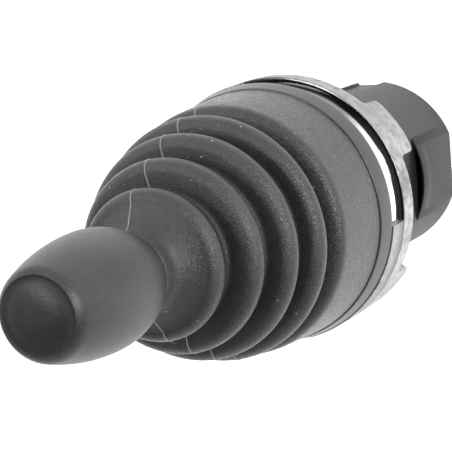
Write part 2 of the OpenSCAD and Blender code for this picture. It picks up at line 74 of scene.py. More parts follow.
AIM = Vector((0, 0.7, 22.05)) * MM
CAMERA_DISTANCE = 221.6 * MM
CAMERA_TURN = (math.radians(-10.9), math.radians(25.7), 0)
SENSOR_WIDTH = 36
FOCAL_LENGTH = 159.3
NEAREST_SEEN = 10 * MM

# Name, direction from the object, distance and size in metres, and power in watts.
SOFTBOXES = (
    ("top_box", (0.0, 0.81, 0.59), 0.6, (0.24, 0.24), 0.8),
    ("top_left_box", (-0.57, 0.57, 0.59), 0.6, (0.24, 0.24), 1.2),
    ("right_box", (0.83, 0.3, 0.46), 0.6, (0.16, 0.2), 4.2),
    ("low_right_box", (0.69, -0.69, 0.21), 0.6, (0.24, 0.24), 0.2),
    ("low_box", (0.0, -0.98, 0.21), 0.6, (0.24, 0.24), 0.2),
    ("left_box", (-0.98, 0.0, 0.21), 0.6, (0.24, 0.24), 0.2),
    ("front_box", (-0.25, 0.22, 0.94), 0.7, (0.14, 0.14), 1.8),
)
WALL_LIGHT = 0.62
CEILING_LIGHT = 0.36
CEILING_START = 0.7
BACKDROP_LIGHT = 1.0

FLOOR_SIZE = 3000 * MM
FLOOR_HEIGHT = -24.75 * MM
GLOW_CENTRE = (36 * MM, -12 * MM, FLOOR_HEIGHT)
GLOW_INNER, GLOW_OUTER = 12 * MM, 36 * MM


def make_camera():
    data = bpy.data.cameras.new("camera")
    data.sensor_width = SENSOR_WIDTH
    data.lens = FOCAL_LENGTH
    data.clip_start = NEAREST_SEEN
    camera = bpy.data.objects.new("camera", data)
    camera.rotation_mode = "YXZ"
    camera.rotation_euler = CAMERA_TURN
    back = Euler(CAMERA_TURN, "YXZ").to_matrix() @ Vector((0, 0, 1))
    camera.location = AIM + back * CAMERA_DISTANCE
    scene.collection.objects.link(camera)
    scene.camera = camera


def softbox(name, direction, distance, size, power):
    """A soft area light that stands in a direction from the object and faces it."""
    back = Vector(direction).normalized()
    bpy.ops.object.light_add(type="AREA", location=AIM + back * distance)
    light = bpy.context.object
    light.name = name
    light.rotation_mode = "QUATERNION"
    light.rotation_quaternion = (-back).to_track_quat("-Z", "Y")
    light.data.shape = "RECTANGLE"
    light.data.size, light.data.size_y = size
    light.data.energy = power


def make_studio():
    """The softboxes, and a white room that lights the object more from its walls than from its ceiling."""
    for box in SOFTBOXES:
        softbox(*box)
    world = bpy.data.worlds.new("studio")
    world.use_nodes = True
    room = Nodes(world.node_tree)
    way = room.node("TexCoord", output="Generated")
    rise = room.node("SeparateXYZ", {}, {0: way}, "Z")
    lit = room.band(rise, 0.0, CEILING_START, WALL_LIGHT, CEILING_LIGHT)
    seen = room.node("LightPath", output="Is Camera Ray")
    sockets = {"Factor": seen, "A": lit, "B": BACKDROP_LIGHT}
    strength = room.node("Mix", {"data_type": "FLOAT"}, sockets, "Result")
    background = world.node_tree.nodes["Background"]
    background.inputs["Color"].default_value = (1, 1, 1, 1)
    room.join(strength, background.inputs["Strength"])
    scene.world = world
    scene.view_settings.view_transform = "Standard"


# ---------------------------------------------------------------- finishes


class Value:
    """What one socket gives over a surface. Arithmetic on it adds Math nodes."""

    def __init__(self, nodes, socket):
        self.nodes = nodes
        self.socket = socket

    def math(self, operation, first, second):
        return self.nodes.node("Math", {"operation": operation}, {0: first, 1: second})

    def __add__(self, other):
        return self.math("ADD", self, other)

    def __radd__(self, other):
        return self.math("ADD", other, self)

    def __sub__(self, other):
        return self.math("SUBTRACT", self, other)

    def __rsub__(self, other):
        return self.math("SUBTRACT", other, self)

    def __mul__(self, other):
        return self.math("MULTIPLY", self, other)

    def __rmul__(self, other):
        return self.math("MULTIPLY", other, self)

    def __lt__(self, other):
        return self.math("LESS_THAN", self, other)


class Nodes:
    """Adds nodes to one tree and joins them."""

    def __init__(self, tree):
        self.tree = tree

    def node(self, kind, settings=None, sockets=None, output=0):
        made = self.tree.nodes.new("ShaderNode" + kind)
        for key, value in (settings or {}).items():
            setattr(made, key, value)
        for key, value in (sockets or {}).items():
            self.join(value, made.inputs[key])
        return Value(self, made.outputs[output])

    def join(self, value, socket):
        if isinstance(value, Value):
            self.tree.links.new(value.socket, socket)
        else:
            socket.default_value = value

    def band(self, value, low, high, start=0.0, end=1.0):
        """Carries a value from low..high to start..end, and stops at both."""
        return self.node("MapRange", {}, {0: value, 1: low, 2: high, 3: start, 4: end})


class Finish(Nodes):
    """A procedural material on object coordinates."""

    def __init__(self, name, **constants):
        self.material = bpy.data.materials.new(name)
        self.material.use_nodes = True
        super().__init__(self.material.node_tree)
        self.shader = self.tree.nodes["Principled BSDF"]
        for socket, value in constants.items():
            self.shader.inputs[socket.replace("_", " ")].default_value = value
        self.place = self.node("TexCoord", output="Object")

    def paint(self, socket, value):
        self.join(value, self.shader.inputs[socket])

    def noise(self, scale, detail, roughness, place=None):
        sockets = {"Vector": place or self.place, "Scale": scale, "Detail": detail, "Roughness": roughness}
        return self.node("TexNoise", {}, sockets)

    def stretched(self, x, y, z):
        return self.node("Mapping", {}, {"Vector": self.place, "Scale": (x, y, z)})

    def attribute(self, name):
        return self.node("Attribute", {"attribute_name": name}, {}, "Fac")

    def voronoi(self, scale, output):
        sockets = {"Vector": self.place, "Scale": scale, "Randomness": 1.0}
        return self.node("TexVoronoi", {"feature": "F1"}, sockets, output)

    def cells(self, scale):
        """A value from 0 to 1 for each small grain of the skin."""
        return self.node("SeparateColor", {}, {0: self.voronoi(scale, "Color")})

    def specks(self, scale, size, share):
        """Small round specks in a share of the cells."""
        near = self.voronoi(scale, "Distance")
        return self.band(near, size * 0.5, size, 1.0, 0.0) * (self.cells(scale) < share)

    def mix(self, factor, first, second):
        return self.node("Mix", {"data_type": "RGBA"}, {0: factor, 6: first, 7: second}, 2)

    def bump(self, height, distance):
        return self.node("Bump", {}, {"Height": height, "Distance": distance, "Strength": 1.0})


def grey(level, warmth=0.0):
    """A grey, and a little warmer than neutral where warmth is above 0."""
    return (level * (1 + warmth), level, level * (1 - warmth), 1)


# Where a finish has two tones, it varies between them.
RUBBER_TONES = grey(0.011, 0.02), grey(0.025, 0.03)
# Paler rims of the bellows: partly wear, partly a painted highlight.
RUBBER_RIM_WEAR_AND_SHEEN = grey(0.035, 0.02)
# Painted shade in the floors of the bellows' grooves.
RUBBER_GROOVE_SHADE = grey(0.006, 0.01)
# Painted highlight along the parting line's ridge.
RUBBER_SEAM_HIGHLIGHT = grey(0.22, 0.02)
RUBBER_DUST = grey(0.32, 0.03)
KNOB_TONES = grey(0.009, 0.05), grey(0.028, 0.06)
# Painted shade on the knob's face, where handling also makes it smoother.
KNOB_FACE_SHADE = grey(0.008, 0.02)
# Painted shade in the crease round the knob's face.
KNOB_SHADED = grey(0.006, 0.02)
KNOB_DUST = grey(0.22, 0.02)
BAND_TONES = grey(0.014, 0.12), grey(0.024, 0.14)
BARREL_TONES = grey(0.008, 0.01), grey(0.013, 0.012)
# Painted shade on the floor of the barrel's pocket.
BARREL_RECESS_SHADE = grey(0.004)
CHROME_TONES = grey(0.86, -0.005), grey(0.78, -0.01)
# Painted dark reflection on the sleeve's upper side.
CHROME_DARK_REFLECTION = grey(0.14, 0.01)
CASTING_TONES = grey(0.34, 0.0), grey(0.22, 0.004)
# Stains and painted shade on the casting's upper side.
CASTING_STAIN_AND_SHADE = grey(0.13, 0.0)
CASTING_SPOTS = grey(0.06, 0.01)
# Painted dark reflection on the turned flange face of the casting.
CASTING_TURNED_SHADE = grey(0.09, 0.0)
FLOOR_TONES = grey(0.5), grey(0.52)
FLOOR_LIT, FLOOR_GLOWING = grey(1.0), grey(1.8)


def moulded_rubber():
    """Grained black rubber with dust; paler at the rims, partly from wear and partly as a painted
    highlight, paler on the parting line as a painted highlight, and darker in the grooves as painted
    shade.
    """
    f = Finish("moulded_rubber", IOR=1.48)
    grain = f.noise(6200, detail=2, roughness=0.6)
    grit = f.cells(5200)
    clouds = f.noise(130, detail=4, roughness=0.55)
    dust = f.specks(800, size=0.1, share=0.22) + f.specks(1900, size=0.14, share=0.05)
    depth = f.attribute("depth")
    tone = f.mix(f.band(clouds * 0.4 + grain * 0.6, 0.36, 0.64), *RUBBER_TONES)
    # Paler rims: partly wear, partly a painted highlight.
    tone = f.mix(f.attribute("rim") * 0.3, tone, RUBBER_RIM_WEAR_AND_SHEEN)
    # Painted shade, deepest at the floor of each groove.
    tone = f.mix(depth * 0.8, tone, RUBBER_GROOVE_SHADE)
    # Painted highlight on the parting line.
    tone = f.mix(f.attribute("seam") * 0.9, tone, RUBBER_SEAM_HIGHLIGHT)
    f.paint("Base Color", f.mix(dust * 0.8, tone, RUBBER_DUST))
    f.paint("Roughness", f.band(clouds + grit * 0.8, 0.5, 1.2, 0.27, 0.46) + depth * 0.2)
    f.paint("Normal", f.bump(grain * 0.8 + grit * 0.2, 0.1 * MM))
    return f.material


def knob_plastic():
    """Fine-grained black plastic, polished by the thumb on its face and dull in its crease, with painted
    shade darkening both the face and the crease.
    """
    f = Finish("knob_plastic", IOR=1.42)
    grain = f.noise(6200, detail=2, roughness=0.55)
    grit = f.cells(5200)
    clouds = f.noise(110, detail=3, roughness=0.5)
    handled_and_shaded = f.attribute("handled_and_shaded")
    crease = f.attribute("crease")
    tone = f.mix(f.band(clouds * 0.6 + grain * 0.4, 0.4, 0.6), *KNOB_TONES)
    # Painted shade on the face, from the same mask that makes it smoother.
    tone = f.mix(handled_and_shaded * 0.6, tone, KNOB_FACE_SHADE)
    # Painted shade in the crease.
    tone = f.mix(crease * 0.6, tone, KNOB_SHADED)
    f.paint("Base Color", f.mix(f.specks(1100, size=0.08, share=0.06) * 0.4, tone, KNOB_DUST))
    skin = f.band(clouds + grit * 0.5, 0.4, 1.1, 0.34, 0.46)
    f.paint("Roughness", skin - handled_and_shaded * 0.06 + crease * 0.35)
    f.paint("Normal", f.bump(grain * 0.7 + grit * 0.3, 0.06 * MM))
    return f.material


def band_plastic():
    """Smooth turned plastic of the clamp ring, with faint rings round it."""
    f = Finish("band_plastic", IOR=1.5)
    grain = f.noise(3800, detail=2, roughness=0.5)
    rings = f.noise(30, detail=3, roughness=0.6, place=f.stretched(1, 1, 60))
    f.paint("Base Color", f.mix(f.band(rings * 0.6 + grain * 0.4, 0.35, 0.65), *BAND_TONES))
    f.paint("Roughness", f.band(rings, 0.3, 0.7, 0.3, 0.42))
    f.paint("Normal", f.bump(grain * 0.5 + rings * 0.5, 0.02 * MM))
    return f.material


def barrel_plastic():
    """Dull fibre-filled plastic, with faint streaks along the barrel, and painted shade on the floor of
    the pocket.
    """
    f = Finish("barrel_plastic", IOR=1.28)
    grain = f.noise(5200, detail=2, roughness=0.6)
    fibres = f.noise(700, detail=3, roughness=0.6, place=f.stretched(1, 1, 0.35))
    clouds = f.noise(90, detail=3, roughness=0.5)
    mixed = f.band(clouds * 0.3 + fibres * 0.2 + grain * 0.5, 0.36, 0.64)
    # Painted shade on the pocket's floor.
    f.paint("Base Color", f.mix(f.attribute("recess_shade"), f.mix(mixed, *BARREL_TONES), BARREL_RECESS_SHADE))
    f.paint("Roughness", f.band(grain, 0.3, 0.7, 0.46, 0.54))
    f.paint("Normal", f.bump(grain * 0.9 + fibres * 0.1, 0.03 * MM))
    return f.material


def polished_chrome():
    """Bright plated metal, darkened on its upper side by a painted dark reflection."""
    f = Finish("polished_chrome", Metallic=1.0)
    haze = f.noise(60, detail=3, roughness=0.6, place=f.stretched(1, 1, 25))
    scratch = f.noise(260, detail=2, roughness=0.5, place=f.stretched(1, 1, 30))
    tone = f.mix(f.band(haze, 0.35, 0.7), *CHROME_TONES)
    # Painted dark reflection on the sleeve's upper side.
    f.paint("Base Color", f.mix(f.attribute("dark_reflection"), tone, CHROME_DARK_REFLECTION))
    f.paint("Roughness", f.band(haze, 0.3, 0.7, 0.07, 0.14))
    f.paint("Normal", f.bump(scratch, 0.004 * MM))
    return f.material


def cast_metal():
    """A mottled die-cast skin, darker on its upper side with stains and painted shade, and darker on the
    turned faces with a painted dark reflection.
    """
    f = Finish("cast_metal", Metallic=1.0)
    skin = f.noise(420, detail=5, roughness=0.65)
    grain = f.noise(2600, detail=3, roughness=0.6)
    stains = f.noise(1150, detail=4, roughness=0.7)
    clouds = f.noise(150, detail=3, roughness=0.5)
    turned_and_shaded = f.attribute("turned")
    stain_and_shade = f.attribute("stain_and_shade")
    spots = f.band(stains * 0.55 + clouds * 0.45, 0.5, 0.6) * (1 - turned_and_shaded)
    tone = f.mix(f.band(skin, 0.35, 0.65), *CASTING_TONES)
    # Stains and painted shade on the upper side; the spots there are darker too.
    tone = f.mix(stain_and_shade * 0.6, tone, CASTING_STAIN_AND_SHADE)
    tone = f.mix(spots * (0.55 + stain_and_shade * 0.35), tone, CASTING_SPOTS)
    # Painted dark reflection on the turned faces, which are also smoother.
    f.paint("Base Color", f.mix(turned_and_shaded, tone, CASTING_TURNED_SHADE))
    rough = f.band(skin * 0.6 + stains * 0.4, 0.35, 0.65, 0.34, 0.52)
    f.paint("Roughness", rough * (1 - turned_and_shaded * 0.7))
    f.paint("Normal", f.bump((skin * 0.5 + grain * 0.4) * (1 - turned_and_shaded * 0.8), 0.05 * MM))
    return f.material


def machined_metal(name, level, warmth, roughness):
    """Turned metal: fine rings round the axis of the stick, with a faint haze."""
    f = Finish(name, Metallic=1.0)
    rings = f.noise(500, detail=3, roughness=0.6, place=f.stretched(0.15, 0.15, 8))
    haze = f.noise(260, detail=3, roughness=0.5)
    mixed = f.band(haze * 0.5 + rings * 0.5, 0.35, 0.65)
    f.paint("Base Color", f.mix(mixed, grey(level, warmth), grey(level * 0.75, warmth * 1.2)))
    f.paint("Roughness", f.band(haze, 0.3, 0.7, roughness, roughness + 0.14))
    f.paint("Normal", f.bump(rings, 0.012 * MM))
    return f.material


def plain_moulding(name, level, warmth, roughness):
    """Unpainted moulded plastic or rubber inside the head."""
    f = Finish(name, IOR=1.48)
    grain = f.noise(3600, detail=2, roughness=0.5)
    clouds = f.noise(220, detail=3, roughness=0.5)
    mixed = f.band(clouds * 0.6 + grain * 0.4, 0.36, 0.64)
    f.paint("Base Color", f.mix(mixed, grey(level * 0.86, warmth), grey(level * 1.12, warmth)))
    f.paint("Roughness", f.band(clouds, 0.3, 0.7, roughness, roughness + 0.12))
    f.paint("Normal", f.bump(grain, 0.03 * MM))
    return f.material


def white_floor():
    """A white floor, lit through from below, and more strongly beside the front ring."""
    f = Finish("white_floor", Roughness=0.9, Emission_Strength=1.0)
    soft = f.noise(6, detail=2, roughness=0.5)
    away = f.node("VectorMath", {"operation": "DISTANCE"}, {0: f.place, 1: GLOW_CENTRE}, "Value")
    glow = f.band(away, GLOW_INNER, GLOW_OUTER, 1.0, 0.0)
    f.paint("Base Color", f.mix(f.band(soft, 0.3, 0.7), *FLOOR_TONES))
    f.paint("Emission Color", f.mix(glow, FLOOR_LIT, FLOOR_GLOWING))
    return f.material


# ---------------------------------------------------------------- shaping

EDGE = 0.1
HARD_EDGE = 40
MERGE_DISTANCE = 0.002 * MM


def select_only(piece):
    bpy.ops.object.select_all(action="DESELECT")
    piece.select_set(True)
    bpy.context.view_layer.objects.active = piece


def corner(before, here, after, rounding, steps=5):
    """The points that round one corner of an outline."""
    here_v = Vector(here)
    ends = []
    for other in (before, after):
        way = Vector(other) - here_v
        ends.append(here_v + way * min(rounding / way.length, 0.49))
    points = []
    for i in range(steps + 1):
        t = i / steps
        points.append(ends[0] * (1 - t) ** 2 + here_v * 2 * t * (1 - t) + ends[1] * t**2)
    return [tuple(p) for p in points]


def rounded(points, closed=True):
    """An outline of (radius, height) pairs from corners given as (radius, height, rounding)."""
    made = []
    for i, (radius, height, rounding) in enumerate(points):
        here = (radius, height)
        end = not closed and i in (0, len(points) - 1)
        if rounding == 0 or end:
            made.append(here)
            continue
        before = points[i - 1][:2]
        after = points[(i + 1) % len(points)][:2]
        made.extend(corner(before, here, after, rounding))
    if closed:
        made.append(made[0])
    return made


def turned(name, outline, steps):
    """Spins an outline of (radius, height) pairs round the axis of the stick."""
    bpy.ops.object.select_all(action="DESELECT")
    radius, height = outline[0]
    bpy.ops.mesh.primitive_plane_add(size=MM, location=(radius * MM, 0, height * MM))
    piece = bpy.context.object
    piece.name = name
    bpy.ops.object.transform_apply(location=True, rotation=True, scale=True)
    bpy.ops.object.mode_set(mode="EDIT")
    bpy.ops.mesh.select_mode(type="VERT")
    bpy.ops.mesh.select_all(action="SELECT")
    bpy.ops.mesh.merge(type="CENTER")
    for new_radius, new_height in outline[1:]:
        step = ((new_radius - radius) * MM, 0, (new_height - height) * MM)
        bpy.ops.mesh.extrude_region_move(TRANSFORM_OT_translate={"value": step})
        radius, height = new_radius, new_height
    bpy.ops.mesh.select_all(action="SELECT")
    bpy.ops.mesh.spin(steps=steps, angle=2 * math.pi, center=(0, 0, 0), axis=(0, 0, 1))
    bpy.ops.mesh.select_all(action="SELECT")
    bpy.ops.mesh.remove_doubles(threshold=MERGE_DISTANCE)
    bpy.ops.mesh.select_all(action="SELECT")
    bpy.ops.mesh.normals_make_consistent(inside=False)
    bpy.ops.object.mode_set(mode="OBJECT")
    return piece


def smooth(piece, angle):
    select_only(piece)
    bpy.ops.object.shade_smooth_by_angle(angle=math.radians(angle))


def apply_modifier(piece, kind, **settings):
    select_only(piece)
    modifier = piece.modifiers.new(kind.lower(), kind)
    for key, value in settings.items():
        setattr(modifier, key, value)
    bpy.ops.object.modifier_apply(modifier=modifier.name)


def soften(piece, width):
    """Takes the sharpness off a piece's edges."""
    apply_modifier(
        piece,
        "BEVEL",
        width=width * MM,
        segments=2,
        limit_method="ANGLE",
        angle_limit=math.radians(HARD_EDGE),
        harden_normals=False,
    )


def block(low, high):
    """A box between two corners, that cuts another piece."""
    bpy.ops.object.select_all(action="DESELECT")
    size = Vector(high) - Vector(low)
    bpy.ops.mesh.primitive_cube_add(size=1, location=(Vector(low) + size / 2) * MM, scale=size * MM)
    bpy.ops.object.transform_apply(location=True, rotation=True, scale=True)
    return bpy.context.object


def cut(piece, cutter):
    apply_modifier(piece, "BOOLEAN", operation="DIFFERENCE", object=cutter, solver="EXACT")
    bpy.data.objects.remove(cutter, do_unlink=True)


def angle_of(vertex):
    return math.degrees(math.atan2(vertex.co.y, vertex.co.x)) % 360


def place_of(vertex):
    """A vertex's distance from the axis of the stick, and its height."""
    return math.hypot(vertex.co.x, vertex.co.y) / MM, vertex.co.z / MM


def apart(first, second):
    """Degrees between two directions."""
    return abs((first - second + 180) % 360 - 180)


def fade(gap, reach):
    """1 where there is no gap, falling to 0 where the gap is as large as the reach."""
    return max(0.0, 1 - gap / reach)


def mark(piece, name, amount):
    """Writes an attribute that a finish reads; amount is a function of a vertex."""
    layer = piece.data.attributes.new(name, "FLOAT", "POINT")
    layer.data.foreach_set("value", [amount(v) for v in piece.data.vertices])


def dress(piece, material, body=None, replaces=()):
    piece.data.materials.clear()
    piece.data.materials.append(material)
    if replaces:
        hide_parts(*replaces)
    if body:
        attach(piece, body)


# ---------------------------------------------------------------- knob

KNOB_RADIUS = outer_radius("knob")
KNOB_WIDEST = 6.8
KNOB_REAR_RADIUS = 4.7
KNOB_REAR_LIFT = 0.3
KNOB_TAPER = 1.86
KNOB_SHARE = 0.878
KNOB_DOME = 0.25
KNOB_CREASE = 3.88
KNOB_CREASE_DEPTH = 0.36
KNOB_CREASE_FADE_OUT = 0.35
KNOB_CREASE_FADE_IN = 1.1
KNOB_BROW_CURVE = 2.2
KNOB_BROW_TURN = 38
INSERT_BORE = 2.95
INSERT_BORE_DEPTH = 11.0
INSERT_CHAMFER = 0.25
REAR_FLAT = 0.75
REAR_INSET = 0.12
REAR_ROUNDING = 0.35
REAR_EDGE = 0.9
REAR_BAND = 1.15
REAR_LINE = 0.03

# Steps out from the crease and up from its floor, from the brow to the face, and where the face begins.
CREASE_STEPS = ((0.16, 0.12), (0.06, 0.03), (-0.1, 0), (-0.27, 0.04))
FACE_INSET = 0.42
FACE_FALL, FACE_EDGE_FALL = 0.14, 0.44
FACE_REACH = 1


def knob_outline():
    """From the insert's bore round the rear edge and up the side, over the brow and across the face."""
    low, high = heights("knob")
    wide = low + KNOB_WIDEST
    top = high - KNOB_DOME
    span = top - wide
    lean = math.atan(2 * KNOB_TAPER * KNOB_SHARE / span)
    brow_radius = KNOB_RADIUS - KNOB_TAPER * KNOB_SHARE**2 - KNOB_BROW_CURVE * math.cos(lean)
    brow_height = wide + span * KNOB_SHARE - KNOB_BROW_CURVE * math.sin(lean)

    def rear(height):
        back = (wide - height) / (KNOB_WIDEST - KNOB_REAR_LIFT)
        return KNOB_RADIUS - (KNOB_RADIUS - KNOB_REAR_RADIUS) * back**2

    bore_end = low + INSERT_BORE_DEPTH
    points = [(0, bore_end), (INSERT_BORE, bore_end)]
    points += [(INSERT_BORE, low + INSERT_CHAMFER), (INSERT_BORE + INSERT_CHAMFER, low)]
    rear_edge = [
        (KNOB_REAR_RADIUS - REAR_FLAT, low, 0),
        (KNOB_REAR_RADIUS - REAR_INSET, low, REAR_ROUNDING),
        (rear(low + REAR_EDGE), low + REAR_EDGE, 0),
    ]
    points += rounded(rear_edge, closed=False)
    band = low + REAR_BAND
    points += [(rear(band) - 0.04, band - REAR_LINE), (rear(band) + 0.005, band + REAR_LINE)]
    for i in range(1, 15):
        height = band + REAR_LINE + (wide - band) * i / 14
        points.append((rear(min(height, wide)), height))
    for i in range(1, 13):
        v = KNOB_SHARE * i / 12
        points.append((KNOB_RADIUS - KNOB_TAPER * v**2, wide + span * v))
    for i in range(1, 13):
        turn = math.pi / 2 - lean
        turn += (math.radians(KNOB_BROW_TURN) - turn) * i / 12
        radius = brow_radius + KNOB_BROW_CURVE * math.sin(turn)
        points.append((radius, brow_height + KNOB_BROW_CURVE * math.cos(turn)))
    floor = top - KNOB_CREASE_DEPTH
    points += [(KNOB_CREASE + out, floor + up) for out, up in CREASE_STEPS]
    for i in range(17):
        q = 1 - i / 16
        height = high - FACE_FALL * q**2 - FACE_EDGE_FALL * q**4
        points.append(((KNOB_CREASE - FACE_INSET) * q, height))
    return points


def make_knob():
    knob = turned("knob_body", knob_outline(), 192)
    smooth(knob, 50)
    front = heights("knob")[1] - FACE_REACH

    # The face inside the crease: smoother from handling, and darkened as painted shade.
    def handled_and_shaded(vertex):
        radius, height = place_of(vertex)
        return 1.0 if radius < KNOB_CREASE and height > front else 0.0

    # How strongly the crease's painted shade falls, fading outwards faster than inwards.
    def crease(vertex):
        radius, height = place_of(vertex)
        reach = KNOB_CREASE_FADE_OUT if radius > KNOB_CREASE else KNOB_CREASE_FADE_IN
        return fade(abs(radius - KNOB_CREASE), reach) if height > front else 0.0

    mark(knob, "handled_and_shaded", handled_and_shaded)
    mark(knob, "crease", crease)
    dress(knob, knob_plastic(), "stick", ["knob"])


# ---------------------------------------------------------------- bellows

FOLDS = 4
FIRST_PITCH = 4.95
LAST_PITCH = 4.4
FOLD_CURVE = 1.93
TIP_RADIUS = 8.1
VALLEY_DEPTH = 2.5
VALLEY_DROP = 1.3
FIRST_GROOVE = 1.9
GROOVE_RISE = 1.25
GROOVE_DISH = 0.45
GROOVE_ROUNDING = 0.8
RIM_ROUNDING = 1.5
RIM_CENTRE = 0.35
RIM_LIP = 0.6
BOOT_WALL = 0.8
INNER_ROUNDING = 0.3
FOLD_THICKENING = 0.25
SHOULDER_STEP = 0.6
SHOULDER_RISE = 11.05
FOOT_INNER, FOOT_OUTER = 1.75, 0.8
FERRULE_RADIUS = 3.25
NECK_WALL = 1.05
NECK_LENGTH = 1.9
SPLIT_FOLD = 2
SPLIT_DROP = 0.08
SEAM_TURNS = (100, 280)
SEAM_WIDTH = 0.11
SEAM_RISE = 0.07
ON_SEAM = 0.02
NEAR_SEAM = 0.2
RIM_REACH = 0.75

# Where the boot starts and ends its bend, in metres.
BEND_START, BEND_END = 0.0212, 0.0434

BOOT_FOOT, BOOT_TOP = heights("bellows")
SKIRT_RADIUS = outer_radius("bellows")
BAND_TOP = heights("clamp_ring")[1]
SHOULDER = BOOT_FOOT + SHOULDER_RISE
SHOULDER_RADIUS = SKIRT_RADIUS - SHOULDER_STEP


def fold_height(i):
    pitches = [FIRST_PITCH + (LAST_PITCH - FIRST_PITCH) * k / (FOLDS - 1) for k in range(i)]
    return SHOULDER + sum(pitches)


def fold_radius(i):
    rise = (fold_height(i) - SHOULDER) / (fold_height(FOLDS) - SHOULDER)
    return SHOULDER_RADIUS - (SHOULDER_RADIUS - TIP_RADIUS) * rise**FOLD_CURVE


def valley_radius(i):
    return (fold_radius(i) + fold_radius(i - 1)) / 2 - VALLEY_DEPTH


def valley_height(i):
    return fold_height(i) - VALLEY_DROP


def groove_height(i):
    """The floor of the groove under a fold."""
    return SHOULDER + FIRST_GROOVE if i == 1 else fold_height(i - 1) + GROOVE_RISE


SPLIT = valley_height(SPLIT_FOLD) - SPLIT_DROP
SPLIT_RADIUS = valley_radius(SPLIT_FOLD)


def groove_floor(i):
    return (valley_radius(i) + 0.05, groove_height(i) - GROOVE_DISH, GROOVE_ROUNDING)


def valley_corners(i):
    return [groove_floor(i), (valley_radius(i), valley_height(i) + 0.2, 0.25)]


def rim_corners(i):
    """A fold's outer edge: a thin lip below, and a wide rounding into its face."""
    radius, height = fold_radius(i), fold_height(i)
    points = [(radius - 0.02, height - RIM_LIP, 0.22)]
    for step in range(10):
        tilt = math.radians(88 - 9 * step)
        outer = radius - RIM_ROUNDING * (1 - math.sin(tilt))
        points.append((outer, height - RIM_CENTRE + RIM_ROUNDING * math.cos(tilt), 0))
    return points


def inner_rim(i):
    return (fold_radius(i) - BOOT_WALL - FOLD_THICKENING, fold_height(i) + 0.05, INNER_ROUNDING)


def inner_fold(i):
    """The inside of a fold, from its rim down to the valley below it."""
    inside = valley_radius(i) - BOOT_WALL
    return [
        inner_rim(i),
        (inside, valley_height(i) + 0.65, INNER_ROUNDING),
        (inside, groove_height(i) - BOOT_WALL, INNER_ROUNDING),
    ]


def lower_boot_outline():
    foot_in = SKIRT_RADIUS - FOOT_INNER
    foot_out = SKIRT_RADIUS - FOOT_OUTER
    skirt = BAND_TOP + 0.05
    wall = SHOULDER_RADIUS - BOOT_WALL
    points = [
        (foot_in, BOOT_FOOT, EDGE),
        (foot_out, BOOT_FOOT, EDGE),
        (foot_out, skirt, 0),
        (SKIRT_RADIUS - 0.02, skirt, 0.14),
        (SHOULDER_RADIUS + 0.05, SHOULDER + 1.15, 1.1),
        (SHOULDER_RADIUS - 1.7, SHOULDER + 1.7, 0.8),
        *valley_corners(1),
        *rim_corners(1),
        groove_floor(SPLIT_FOLD),
        (SPLIT_RADIUS, SPLIT, 0),
        (SPLIT_RADIUS - BOOT_WALL, SPLIT, 0),
        (SPLIT_RADIUS - BOOT_WALL, groove_height(SPLIT_FOLD) - BOOT_WALL, INNER_ROUNDING),
        *inner_fold(1),
        (wall - 0.5, SHOULDER + 0.6, INNER_ROUNDING),
        (wall, SHOULDER - 1.5, 0.5),
        (wall, skirt + 1.5, 0.5),
        (foot_in, skirt + 0.6, INNER_ROUNDING),
    ]
    return rounded(points)


def upper_boot_outline():
    neck = FERRULE_RADIUS + NECK_WALL
    neck_low = BOOT_TOP - NECK_LENGTH
    points = [
        (SPLIT_RADIUS - BOOT_WALL, SPLIT, 0),
        (SPLIT_RADIUS, SPLIT, 0),
        (SPLIT_RADIUS, SPLIT + 0.28, 0.2),
        *rim_corners(2),
        *valley_corners(3),
        *rim_corners(3),
        *valley_corners(4),
        *rim_corners(4),
        (neck, neck_low, 0.8),
        (neck, BOOT_TOP, 0.25),
        (FERRULE_RADIUS, BOOT_TOP, EDGE),
        (FERRULE_RADIUS, neck_low - 0.3, 0.2),
        *inner_fold(4),
        *inner_fold(3),
        inner_rim(2),
        (SPLIT_RADIUS - BOOT_WALL, SPLIT + 0.73, INNER_ROUNDING),
    ]
    return rounded(points)


def from_seam(vertex):
    """Degrees from a vertex to the nearer parting line."""
    return min(apart(angle_of(vertex), seam) for seam in SEAM_TURNS)


def raise_seam(piece):
    """The mould's parting line: a fine ridge along two meridians."""
    select_only(piece)
    bpy.ops.object.mode_set(mode="EDIT")
    bpy.ops.mesh.select_mode(type="EDGE")
    bpy.ops.mesh.select_all(action="DESELECT")
    mesh = bmesh.from_edit_mesh(piece.data)
    for edge in mesh.edges:
        edge.select_set(all(from_seam(v) < NEAR_SEAM for v in edge.verts))
    bmesh.update_edit_mesh(piece.data)
    bpy.ops.mesh.bevel(offset=SEAM_WIDTH * MM, segments=2, affect="EDGES")
    bpy.ops.mesh.select_mode(type="VERT")
    bpy.ops.mesh.select_all(action="DESELECT")
    mesh = bmesh.from_edit_mesh(piece.data)
    for vertex in mesh.verts:
        vertex.select_set(from_seam(vertex) < ON_SEAM)
    bmesh.update_edit_mesh(piece.data)
    bpy.ops.transform.shrink_fatten(value=SEAM_RISE * MM)
    bpy.ops.object.mode_set(mode="OBJECT")


# Where the parting line gets its painted highlight.
def seam_highlight_amount(vertex):
    return 1.0 if from_seam(vertex) < ON_SEAM else 0.0


def rim_wear_and_sheen_amount(vertex):
    """How near a vertex is to the rim of a fold, where the rubber is paler: partly wear, partly a painted
    highlight.
    """
    radius, height = place_of(vertex)
    folds = range(1, FOLDS + 1)
    gaps = [math.hypot(radius - fold_radius(i), height - fold_height(i) + 0.1) for i in folds]
    return fade(min(gaps), RIM_REACH)


